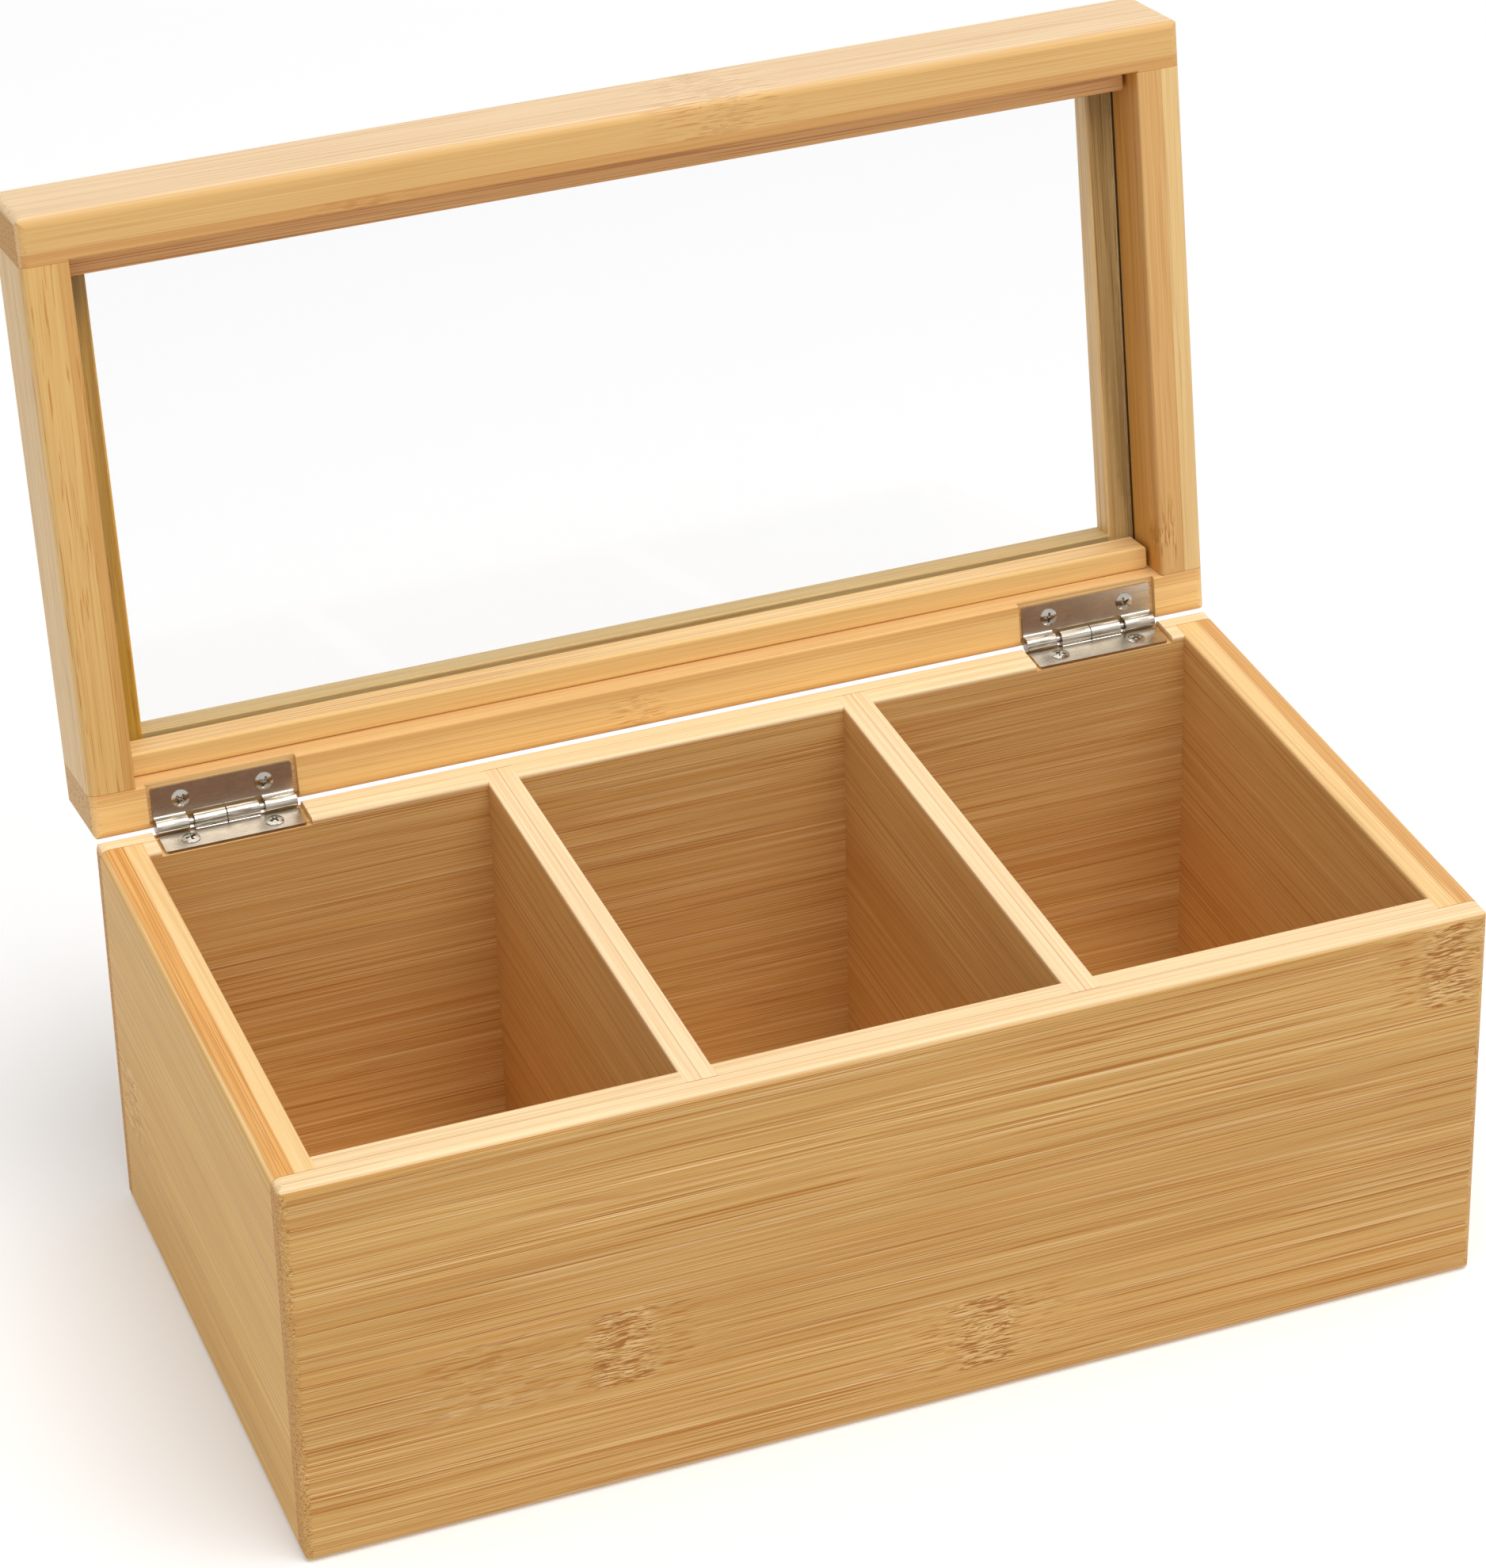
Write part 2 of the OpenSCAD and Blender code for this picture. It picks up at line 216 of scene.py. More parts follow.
def knot_group() -> bpy.types.NodeTree:
    """A node band of the bamboo cane: a ragged patch that fills its strip's width.

    Core is 1 in the patch, and Near fades out along the grain to about four
    times its reach. Both end sharply at the strip's glued edges.

    Returns:
        The group.
    """
    graph, given, out = new_group(
        "bamboo_knot",
        {"Point": (0.0, 0.0, 0.0), "Centre": (0.0, 0.0, 0.0), "Reach": (9.0, 10.0, 6.0)},
        {"Core": "Float", "Near": "Float"})
    away = graph.vector("DIVIDE", graph.vector("SUBTRACT", given["Point"], given["Centre"]),
                        given["Reach"])
    along, across, through = graph.split(graph.node("VectorMath", {0: away}, operation="ABSOLUTE")
                                         .outputs[0])
    ragged = graph.noise(given["Point"], (0.05, 0.45, 0.3), 2.0)
    reach = graph.math("MULTIPLY_ADD", graph.math("SUBTRACT", ragged, 0.5), 1.5, along)
    inside = graph.math("MULTIPLY", graph.ramp(across, 0.97, 1.03, 1.0, 0.0),
                        graph.ramp(through, 0.97, 1.03, 1.0, 0.0))
    graph.put(graph.math("MULTIPLY", graph.ramp(reach, 0.6, 1.25, 1.0, 0.0), inside),
              out.inputs["Core"])
    graph.put(graph.math("MULTIPLY", graph.ramp(reach, 1.0, 4.4, 1.0, 0.0), inside),
              out.inputs["Near"])
    return graph.tree


def bamboo_group() -> bpy.types.NodeTree:
    """Bamboo board: glued strips with long fibres, node bands, pale edges and speckled ends.

    Long fibres are noise drawn out some hundred times along the grain and cut
    at a threshold. Round a node band they break into dashes. Each strip has
    its own tone and its own shift of the grain. Streaks scales the warm and
    bright streaks, and Dense the fibres of the edges' band. The lip inputs paint
    the shade and light that faces deeper than the board get behind the glass,
    and the gap input paints a shadow line in the gap beside the glass.

    Returns:
        The group.
    """
    graph, given, out = new_group(
        "bamboo_board",
        {"Point": (0.0, 0.0, 0.0), "Half": (150.0, 52.0, 11.0), "Strip": 20.0, "Shift": 0.0,
         "Ply": 5.5, "Seed": 0.0, "Core": 0.0, "Near": 0.0, "Lines": 1.0, "Dashes": 0.0,
         "Inner Tone": 0.0, "Edge Lines": 0.35, "Band From": 0.0, "Band To": 1.0, "Band": 0.0,
         "End Dots": 1.0, "Seam": 0.0, "Lip Shading": 0.0, "Dense": 0.7, "Streaks": 1.0, "Gap Shadow": 0.0,
         "Pale Colour": (0.8, 0.6, 0.3), "Deep Colour": (0.6, 0.4, 0.2),
         "Warm Colour": (0.6, 0.35, 0.12), "Fibre Colour": (0.4, 0.2, 0.06),
         "Edge Colour": (0.85, 0.65, 0.4), "Band Colour": (0.5, 0.3, 0.1),
         "End Colour": (0.5, 0.35, 0.2), "Lip Shading Colour": (0.4, 0.3, 0.15)},
        {"Colour": "Color", "Roughness": "Float", "Height": "Float"})
    g, t, n = graph.split(given["Point"])
    half_g, half_t, deep = graph.split(given["Half"])
    core, near = given["Core"], given["Near"]
    inner = graph.math("GREATER_THAN", n, given["Ply"])

    # strips, each with three numbers of its own
    place = graph.math("DIVIDE", graph.math("ADD", graph.math("MULTIPLY_ADD", inner, 7.3, t),
                                            given["Shift"]), given["Strip"])
    number = graph.math("MULTIPLY_ADD", inner, 31.0, graph.math("FLOOR", place))
    dice = graph.node("TexWhiteNoise", {"W": graph.math("ADD", number, given["Seed"])},
                      noise_dimensions="1D").outputs[1]
    one, two, three = graph.split(dice)
    spot = graph.math("FRACT", place)
    rim = graph.math("MULTIPLY", graph.math("MINIMUM", spot, graph.math("SUBTRACT", 1.0, spot)),
                     given["Strip"])
    glue = graph.math("MULTIPLY", graph.ramp(rim, 0.04, 0.22, 1.0, 0.0),
                      graph.ramp(three, 0.3, 0.9, 0.15, 0.6))

    # the grain's own point: shifted for each strip, leaning a little, unsettled at knots
    lean = graph.math("MULTIPLY", graph.math("SUBTRACT", two, 0.5), 0.010)
    wave = graph.math("MULTIPLY", graph.math(
        "SUBTRACT", graph.noise(given["Point"], (0.010, 0.04, 0.04)), 0.5), 1.1)
    swirl = graph.math("MULTIPLY", graph.math("MULTIPLY", graph.math(
        "SUBTRACT", graph.noise(given["Point"], (0.15, 0.30, 0.30), 1.0), 0.5), 1.3),
        graph.math("MULTIPLY_ADD", near, 0.25, core))
    move = graph.math("ADD", graph.math("MULTIPLY_ADD", g, lean, wave), swirl)
    grain = graph.join(
        graph.math("ADD", g, graph.math("MULTIPLY_ADD", one, 700.0, given["Seed"])),
        graph.math("ADD", t, move), graph.math("MULTIPLY_ADD", move, 0.7, n))

    # masks of the faces: edges at the ends of t, end grain at the ends of g
    edge = graph.ramp(graph.math("SUBTRACT", half_t, graph.math("ABSOLUTE", t)), 0.4, 1.6, 1.0, 0.0)
    far = graph.math("SUBTRACT", half_g, graph.math("ABSOLUTE", g))
    end = graph.math("MULTIPLY", graph.ramp(far, 0.02, 0.4, 1.0, 0.0), given["End Dots"])
    # painted shade and light: faces deeper than the board, behind the glass, take a tone that stands in for
    # how they are lit there
    lip_shading = graph.math("MULTIPLY", graph.ramp(graph.math("SUBTRACT", n, deep), 0.15, 0.45),
                     graph.math("MULTIPLY", graph.math("SUBTRACT", 1.0, edge), given["Lip Shading"]))
    drift = graph.math("MULTIPLY", graph.math(
        "SUBTRACT", graph.noise(given["Point"], (0.02, 0.0, 0.5), 2.0), 0.5), 1.6)
    depth = graph.math("ADD", n, drift)
    band = graph.math("MULTIPLY", graph.math("MULTIPLY", graph.ramp(
        graph.math("SUBTRACT", depth, given["Band From"]), -0.25, 0.25), graph.ramp(
        graph.math("SUBTRACT", depth, given["Band To"]), -0.25, 0.25, 1.0, 0.0)),
        graph.math("MULTIPLY", edge, given["Band"]))

    # ground tones: broad ones, warm streaks, and a fine hair of light and dark
    grains = {name: graph.noise(grain, *kind) for name, kind in GRAINS.items()}
    hair = grains["hair"]
    tone = graph.math("ADD", graph.math("MULTIPLY_ADD", one, 0.5, 0.05),
                      graph.math("MULTIPLY", graph.math("SUBTRACT", grains["broad"], 0.4), 1.1), clamp=True)
    tone = graph.math("MAXIMUM", tone, graph.math("MULTIPLY", inner, given["Inner Tone"]))
    ground = graph.mix(tone, given["Pale Colour"], given["Deep Colour"])
    warm = graph.math("MULTIPLY", graph.ramp(grains["streak"], 0.46, 0.62), graph.math(
        "MULTIPLY", given["Streaks"], 0.42))
    ground = graph.mix(warm, ground, given["Warm Colour"])

    # fibres: long ones away from knots, dashes near and in them
    cut = graph.math("MULTIPLY_ADD", grains["crowd"], -0.18, 0.668)
    faint = graph.ramp(grains["faint"], 0.52, 0.66, 0.0, 0.4)
    line = graph.math("MULTIPLY", graph.math("MAXIMUM", faint, graph.ramp(
        graph.math("SUBTRACT", grains["long"], cut), 0.0, 0.07)), graph.math("SUBTRACT", 1.0, near))
    dense = graph.math("MULTIPLY", graph.ramp(grains["dense"], 0.46, 0.60), band)
    middle = graph.ramp(grains["middle"], 0.56, 0.63)
    middle = graph.math("MULTIPLY", middle, graph.math("SUBTRACT", near, core))
    sparse = graph.ramp(grains["sparse"], 0.64, 0.69)
    middle = graph.math("MAXIMUM", middle, graph.math("MULTIPLY", sparse, given["Dashes"]))
    short = graph.math("MULTIPLY", graph.ramp(grains["burst"], 0.50, 0.57), core)
    gleam = graph.math("MULTIPLY", graph.ramp(grains["burst"], 0.34, 0.45, 0.36, 0.0), graph.math(
        "MULTIPLY", core, graph.math("MULTIPLY_ADD", inner, -0.7, 1.0)))
    share = graph.ramp(edge, 0.0, 1.0, 1.0, given["Edge Lines"])
    line = graph.math("MULTIPLY", line, graph.math("MULTIPLY", given["Lines"], share))
    lines = graph.math("MAXIMUM", line, graph.math("MULTIPLY", graph.math(
        "MAXIMUM", middle, short), graph.math("MULTIPLY_ADD", given["Lines"], 0.5, 0.5)))
    lines = graph.math("MAXIMUM", lines, graph.math("MULTIPLY", dense, given["Dense"]))
    tiny = graph.ramp(graph.noise(given["Point"], (0.9, 1.7, 1.7), 0.0), 0.81, 0.85)
    tiny = graph.math("MULTIPLY", tiny, core)
    bright = graph.math("MULTIPLY", graph.ramp(grains["bright"], 0.57, 0.68),
                        graph.math("MULTIPLY", given["Streaks"], 0.4))

    # the board's edges are paler, with a darker band through part of the thickness
    side = graph.mix(graph.math("MULTIPLY", warm, 0.5), given["Edge Colour"], given["Warm Colour"])
    side = graph.mix(band, side, given["Band Colour"])
    colour = graph.mix(graph.math("MULTIPLY", edge, 0.9), ground, side)
    # painted shade and light on the faces behind the glass
    colour = graph.mix(lip_shading, colour, given["Lip Shading Colour"])
    calm = graph.math("MULTIPLY", core, graph.math(
        "MULTIPLY", graph.math("MULTIPLY_ADD", inner, -0.3, 0.3),
        graph.math("MULTIPLY_ADD", edge, -0.8, 1.0)))
    colour = graph.mix(calm, colour, given["Pale Colour"])
    colour = graph.mix(graph.math("MAXIMUM", bright, gleam), colour, given["Edge Colour"])
    burnt = graph.mix(graph.math("MULTIPLY", core, 0.6), given["Fibre Colour"],
                      graph.vector("MULTIPLY", given["Fibre Colour"], BURNT_SHARE))
    colour = graph.mix(graph.math("MULTIPLY", lines, 0.85), colour, burnt)
    colour = graph.mix(graph.math("MULTIPLY", tiny, 0.8), colour, PORE_COLOUR)

    # end grain: brown dots on a duller ground
    speck = graph.ramp(graph.noise(given["Point"], (0.3, 1.25, 1.25), 1.0), 0.50, 0.62)
    tips = graph.mix(graph.math("MULTIPLY", speck, 0.75), given["End Colour"],
                     given["Fibre Colour"])
    colour = graph.mix(end, colour, tips)

    # glue lines between strips and plies, and the dark seam where a board butts another
    ply = graph.ramp(graph.math("ABSOLUTE", graph.math("SUBTRACT", n, given["Ply"])),
                     0.05, 0.2, 0.45, 0.0)
    seam = graph.math("MULTIPLY", graph.ramp(far, 0.06, 0.2, 1.0, 0.0), given["Seam"])
    dark = graph.math("MAXIMUM", graph.math("MULTIPLY", glue, 0.4),
                      graph.math("MAXIMUM", ply, seam))
    colour = graph.mix(dark, colour, given["Fibre Colour"])

    # painted shadow: a near-black line in the gap beside the glass, on the inner face below the lip
    gap = graph.math("MULTIPLY", graph.math("MULTIPLY", graph.ramp(t, 2.35, 2.55), graph.ramp(
        t, 4.6, 4.8, 1.0, 0.0)), graph.math("MULTIPLY", graph.math(
            "COMPARE", n, deep, 0.2), given["Gap Shadow"]))
    colour = graph.mix(gap, colour, GAP_SHADOW_COLOUR)
    shade = graph.math("MULTIPLY", graph.math("SUBTRACT", hair, 0.5),
                       graph.math("MULTIPLY_ADD", edge, -0.5, 1.0))
    tints = (graph.math("MULTIPLY_ADD", shade, share, 1.0) for share in (0.5, 0.75, 1.1))
    colour = graph.mix(1.0, colour, graph.join(*tints), "MULTIPLY")
    graph.put(colour, out.inputs["Colour"])

    graph.put(graph.math("ADD", graph.math("MULTIPLY_ADD", hair, 0.16, 0.36),
                         graph.math("MULTIPLY_ADD", end, 0.2, graph.math("MULTIPLY", lines, 0.06))),
              out.inputs["Roughness"])
    low = graph.math("ADD", graph.math("MULTIPLY", lines, 0.5), graph.math("MULTIPLY", dark, 0.8))
    graph.put(graph.math("SUBTRACT", graph.math("MULTIPLY", hair, 0.5), low), out.inputs["Height"])
    return graph.tree


# ------------------------------------------------------------ finishes


@dataclass(frozen=True)
class Bamboo:
    """Colours and grain of one lot of boards, as screen colours of 0 to 255."""

    pale: Rgb = (228, 188, 122)
    deep: Rgb = (212, 166, 100)
    warm: Rgb = (208, 148, 74)
    fibre: Rgb = (176, 106, 34)
    edge: Rgb = (252, 219, 166)
    end: Rgb = (206, 158, 94)
    lines: float = 1.0
    dashes: float = 0.0
    inner_tone: float = 0.0
    edge_lines: float = 0.22
    band: float = 0.0
    band_from: float = 0.0
    band_to: float = 1.0
    band_colour: Rgb = (205, 150, 84)
    # strength and colour of the painted shade and light on faces deeper than the board
    lip_shading: float = 0.0
    lip_shading_colour: Rgb = (178, 142, 90)
    dense: float = 0.7
    streaks: float = 1.0
    # strength of the painted shadow line in the gap beside the glass
    gap: float = 0.0


@dataclass(frozen=True)
class Knot:
    """A node band: its middle along the grain and across, and its half sizes, in millimetres.

    strength is how far its core shows, and the dashes round it stay.
    """

    g: float
    t: float
    half_g: float = 9.0
    half_t: float = 10.5
    n: float = 0.0
    half_n: float = 6.0
    strength: float = 1.0


class Way(Enum):
    """How a board lies: which of the box's axes its grain, width and thickness follow."""

    LONG = ((1, 0, 0), (0, 0, 1), (0, 1, 0))
    CROSS = ((0, 1, 0), (0, 0, 1), (1, 0, 0))
    FLAT = ((1, 0, 0), (0, 1, 0), (0, 0, 1))


@dataclass(frozen=True)
class Board:
    """One board: its node, how it lies and where its strips and knots are, in millimetres.

    outside is the place of its outer face along the thickness, and middle is
    its middle across the wide face.
    """

    node: str
    way: Way
    half: Triple
    middle: float
    outside: float
    finish: Bamboo = Bamboo()
    strip: float = 20.5
    shift: float = 0.0
    ply: float = 5.5
    seed: float = 0.0
    seam: float = 0.0
    knots: tuple[Knot, ...] = ()


@dataclass(frozen=True)
class Hinging:
    """The pin's axis and how far the lid is turned back, in millimetres and degrees."""

    pin_y: float = 79.3
    pin_z: float = 105.3
    opened: float = 98.4

    def shut(self) -> Matrix:
        """The turn that brings a point of the open lid back to the shut one, in metres."""
        pin = Matrix.Translation((0, self.pin_y / MM, self.pin_z / MM))
        return pin @ Matrix.Rotation(math.radians(self.opened), 4, "X") @ pin.inverted()


class WoodShop:
    """Makes a material for each board and puts it on the board's node."""

    def __init__(self, hinging: Hinging) -> None:
        """Builds the node groups that all boards share."""
        self.hinging = hinging
        self.knots = knot_group()
        self.board = bamboo_group()

    def place(self, board: Board, in_lid: bool) -> Matrix:
        """Works out the map from the box's metres to the board's own millimetres.

        Args:
            board: the board.
            in_lid: whether it turns with the lid.
        Returns:
            The map as a 4 by 4 matrix.
        """
        rows = Matrix(board.way.value)
        side = 1.0 if board.outside < 0 else -1.0
        turned = Matrix((rows[0], rows[1], rows[2] * side))
        offset = Vector((0.0, -board.middle, abs(board.outside)))
        own = (turned * MM).to_4x4()
        own.translation = offset
        return own @ self.hinging.shut() if in_lid else own

    def dress(self, board: Board, in_lid: bool = False) -> None:
        """Makes the board's material and puts it on the board's node.

        Args:
            board: the board.
            in_lid: whether it turns with the lid.
        """
        material = bpy.data.materials.new("bamboo_" + board.node)
        material.use_nodes = True
        graph = Graph(material.node_tree)
        where = self.place(board, in_lid)
        linear = where.to_3x3() * (1 / MM)
        flip = -1.0 if linear.determinant() < 0 else 1.0
        turn = (linear @ Matrix.Diagonal((flip, 1.0, 1.0))).to_euler("XYZ")
        source = graph.node("TexCoord").outputs["Object"]
        point = graph.node("Mapping", {"Vector": source, "Location": where.translation,
                                       "Rotation": turn, "Scale": (MM * flip, MM, MM)},
                           vector_type="POINT").outputs[0]
        core: object = 0.0
        near: object = 0.0
        for knot in board.knots:
            made = graph.tree.nodes.new("ShaderNodeGroup")
            made.node_tree = self.knots
            graph.put(point, made.inputs["Point"])
            made.inputs["Centre"].default_value = (knot.g, knot.t, knot.n)
            made.inputs["Reach"].default_value = (knot.half_g, knot.half_t, knot.half_n)
            core = graph.math("MAXIMUM", core, graph.math(
                "MULTIPLY", made.outputs["Core"], knot.strength))
            near = graph.math("MAXIMUM", near, made.outputs["Near"])
        finish = board.finish
        made = graph.tree.nodes.new("ShaderNodeGroup")
        made.node_tree = self.board
        values = {"Point": point, "Half": board.half, "Strip": board.strip, "Shift": board.shift,
                  "Ply": board.ply, "Seed": board.seed, "Core": core, "Near": near,
                  "Lines": finish.lines, "Dashes": finish.dashes,
                  "Inner Tone": finish.inner_tone, "Edge Lines": finish.edge_lines,
                  "Band": finish.band, "Band From": finish.band_from, "Band To": finish.band_to,
                  "Band Colour": paint(*finish.band_colour), "Lip Shading": finish.lip_shading,
                  "Lip Shading Colour": paint(*finish.lip_shading_colour), "End Dots": 1.0 - board.seam,
                  "Seam": board.seam, "Dense": finish.dense, "Streaks": finish.streaks,
                  "Gap Shadow": finish.gap,
                  "Pale Colour": paint(*finish.pale), "Deep Colour": paint(*finish.deep),
                  "Warm Colour": paint(*finish.warm), "Fibre Colour": paint(*finish.fibre),
                  "Edge Colour": paint(*finish.edge), "End Colour": paint(*finish.end)}
        for name, value in values.items():
            graph.put(value, made.inputs[name])
        bump = graph.node("Bump", {"Height": made.outputs["Height"], "Strength": WOOD_BUMP,
                                   "Distance": WOOD_BUMP_M})
        surface = graph.node("BsdfPrincipled", {
            "Base Color": made.outputs["Colour"], "Roughness": made.outputs["Roughness"],
            "Normal": bump.outputs[0], "Specular IOR Level": 0.3})
        out = graph.node("OutputMaterial")
        graph.put(surface.outputs[0], out.inputs["Surface"])
        cover(board.node, material)
        log.info("%s: bamboo with %d knots", board.node, len(board.knots))


def cover(node: str, material: bpy.types.Material) -> None:
    """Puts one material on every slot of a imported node.

    Args:
        node: the node's name.
        material: the material.
    """
    slots = frame["nodes"][node].material_slots
    for slot in slots:
        slot.material = material
    if not slots:
        frame["nodes"][node].data.materials.append(material)


# ------------------------------------------------------------ sub-assemblies


@dataclass
class Carcass:
    """The box below the lid: four walls, bottom and two dividers. Sizes in millimetres."""

    half_length: float = 150.0
    half_depth: float = 80.0
    height: float = 105.0
    wall: float = 11.0
    lap: float = 5.5
    bottom: float = 5.0
    underside: float = -0.001  # only its sign counts: the thickness runs upward
    divider: float = 8.0
    divider_x: float = 47.67
    front: Bamboo = Bamboo(pale=(214, 170, 100), deep=(196, 150, 84), warm=(198, 134, 54),
                           fibre=(170, 102, 18), edge=(252, 221, 174))
    left: Bamboo = Bamboo(pale=(227, 180, 88), deep=(211, 158, 64), warm=(212, 150, 62),
                          fibre=(190, 124, 48), edge=(248, 212, 154), lines=0.6, edge_lines=0.35,
                          band=0.9, band_from=1.0, band_to=6.0, band_colour=(229, 163, 87))
    right: Bamboo = Bamboo(pale=(230, 188, 120), deep=(216, 166, 98), warm=(210, 150, 80),
                           fibre=(186, 120, 54), edge=(248, 208, 146), lines=0.7, edge_lines=0.5,
                           band=0.7, band_from=0.8, band_to=5.4, band_colour=(216, 152, 74))
    # the back wall's top edge is painted paler: painted light that offsets the shade of the open lid
    back: Bamboo = Bamboo(edge=(254, 229, 184), lines=0.7)
    inside: Bamboo = Bamboo(lines=0.6, edge=(253, 224, 180))

    def boards(self) -> list[Board]:
        """Lists the boards.

        Returns:
            The seven boards of the box.
        """
        half_z = self.height / 2
        long = (self.half_length, half_z, self.wall)
        cross = (self.half_depth - self.lap, half_z, self.wall)
        inner = (cross[0], (self.height - self.bottom) / 2, self.divider)
        inner_z = (self.height + self.bottom) / 2
        panel = (self.half_length - self.lap, self.half_depth - self.lap, self.bottom)
        knots = (Knot(-71.0, -12.7, 8.5, 10.6), Knot(19.7, -34.2, 8.5, 10.2),
                 Knot(140.0, 39.5, 7.5, 11.5), Knot(-103.0, -12.7, 6.0, 10.6, strength=0.3))
        return [
            Board("front_wall", Way.LONG, long, half_z, -self.half_depth, self.front,
                  strip=21.0, shift=2.2, seed=3.0, knots=knots),
            Board("back_wall", Way.LONG, long, half_z, self.half_depth, self.back,
                  strip=20.2, shift=9.0, seed=12.0,
                  knots=(Knot(52.0, 10.0, 9.0, 10.1), Knot(-96.0, -20.0, 9.0, 10.1))),
            Board("left_wall", Way.CROSS, cross, half_z, -self.half_length, self.left,
                  strip=20.6, shift=4.0, seed=21.0, seam=1.0, knots=(Knot(63.0, -14.5, 8.0, 10.3),)),
            Board("right_wall", Way.CROSS, cross, half_z, self.half_length, self.right,
                  strip=20.6, shift=13.0, seed=34.0, seam=1.0, knots=(Knot(20.0, 6.0, 8.0, 10.3),)),
            Board("left_divider", Way.CROSS, inner, inner_z,
                  -self.divider_x - self.divider / 2, self.inside, shift=6.0, ply=4.0, seed=45.0,
                  seam=1.0),
            Board("right_divider", Way.CROSS, inner, inner_z,
                  self.divider_x + self.divider / 2, self.inside, shift=15.0, ply=4.0, seed=52.0,
                  seam=1.0, knots=(Knot(-30.0, 12.0, 8.0, 10.3),)),
            Board("bottom_panel", Way.FLAT, panel, 0.0, self.underside, self.inside,
                  strip=20.0, ply=9.0, seed=61.0, knots=(Knot(-95.0, 20.0), Knot(88.0, -10.0))),
        ]


@dataclass
class LidFrame:
    """The lid's rails, stiles and beads. Sizes in millimetres, with the lid shut."""

    half_length: float = 150.0
    half_depth: float = 80.0
    under: float = 105.6
    height: float = 28.0
    frame: float = 12.0
    lamella: float = 9.2
    bead_width: float = 6.2
    bead_gap: float = 1.1
    bead_from: float = 112.6
    bead_to: float = 122.0
    whole: float = 60.0  # a strip wider than the frame, so that it shows no glue line
    whole_shift: float = 30.0
    # lip values paint the shade and light that faces behind the glass get: darker on the rails and the left
    # stile, paler on the right stile
    front: Bamboo = Bamboo(pale=(240, 212, 173), deep=(232, 198, 151), warm=(228, 183, 127),
                           fibre=(186, 124, 64), edge=(220, 174, 104), lines=0.55, edge_lines=0.5,
                           inner_tone=1.0, band=0.8, band_from=9.2, band_to=30.0,
                           band_colour=(204, 146, 78), lip_shading=0.4, dense=0.3, streaks=0.4)
    back: Bamboo = Bamboo(pale=(240, 203, 146), deep=(229, 187, 126), warm=(223, 172, 106),
                          fibre=(196, 130, 62), edge=(248, 202, 130), lines=0.65, edge_lines=0.5,
                          inner_tone=0.8, band=0.5, band_from=9.6, band_to=30.0,
                          band_colour=(226, 170, 100), lip_shading=0.85, lip_shading_colour=(185, 162, 110),
                          dense=0.3, streaks=0.4, end=(218, 180, 128))
    # the stiles' gap values paint a shadow line beside the glass
    left: Bamboo = Bamboo(pale=(236, 202, 144), deep=(226, 188, 126), warm=(220, 170, 98),
                          fibre=(186, 116, 38), edge=(224, 180, 110), lines=0.45, dashes=1.0,
                          inner_tone=0.9, edge_lines=0.9, band=0.6, band_from=9.4, band_to=30.0,
                          band_colour=(208, 152, 82), lip_shading=0.95, lip_shading_colour=(219, 165, 56),
                          dense=0.3, streaks=0.3, gap=0.9)
    right: Bamboo = Bamboo(pale=(232, 184, 104), deep=(220, 160, 76), warm=(212, 146, 60),
                           fibre=(182, 120, 46), edge=(234, 200, 140), lines=0.8,
                           inner_tone=1.0, edge_lines=0.4, band=0.8, band_from=5.6, band_to=30.0,
                           band_colour=(218, 168, 104), lip_shading=0.6, lip_shading_colour=(247, 214, 151),
                           dense=0.3, streaks=0.5, gap=0.95)
    # the front bead's darker finish is painted shade: the rail shades its recessed face, while the back
    # bead keeps the lit finish
    shaded_bead: Bamboo = Bamboo(pale=(224, 174, 110), deep=(206, 150, 86), warm=(196, 132, 66),
                               fibre=(160, 94, 40), edge=(232, 180, 120), edge_lines=0.6)
    bead: Bamboo = Bamboo(pale=(246, 214, 160), deep=(230, 190, 128), warm=(220, 174, 106),
                          fibre=(178, 108, 40), edge=(238, 196, 126), lines=0.7)

    def boards(self) -> list[Board]:
        """Lists the boards.

        Returns:
            The two rails, two stiles and two beads.
        """
        middle = self.under + self.height / 2
        rail = (self.half_length, self.height / 2, self.frame)
        stile = (self.half_depth - self.frame, self.height / 2, self.frame)
        bead_at = self.half_depth - self.frame
        bead_z = (self.bead_from + self.bead_to) / 2
        bead = (self.half_length - self.frame - self.bead_gap,
                (self.bead_to - self.bead_from) / 2, self.bead_width)
        plain = {"strip": self.whole, "shift": self.whole_shift}
        return [
            Board("lid_front_rail", Way.LONG, rail, middle, -self.half_depth, self.front,
                  ply=self.lamella, seed=70.0, **plain,
                  knots=(Knot(27.0, 0.0, 6.0, 30.0, 0.0, 9.2, strength=0.55),
                         Knot(-66.0, 0.0, 6.0, 30.0, 12.0, 2.6, strength=0.7))),
            Board("lid_back_rail", Way.LONG, rail, middle, self.half_depth, self.back,
                  ply=self.lamella, seed=83.0, **plain,
                  knots=(Knot(-7.0, 0.0, 2.6, 30.0, 0.0, 9.2, strength=0.5),)),
            Board("lid_left_stile", Way.CROSS, stile, middle, -self.half_length, self.left,
                  ply=self.lamella, seed=95.0, seam=1.0, **plain),
            Board("lid_right_stile", Way.CROSS, stile, middle, self.half_length, self.right,
                  ply=5.6, seed=104.0, seam=1.0, **plain,
                  knots=(Knot(57.0, -12.0, 3.5, 4.0, 10.0, 2.6),)),
            Board("lid_front_bead", Way.LONG, bead, bead_z, -bead_at, self.shaded_bead,
                  ply=20.0, seed=111.0, **plain),
            Board("lid_back_bead", Way.LONG, bead, bead_z, bead_at, self.bead,
                  ply=20.0, seed=118.0, **plain),
        ]


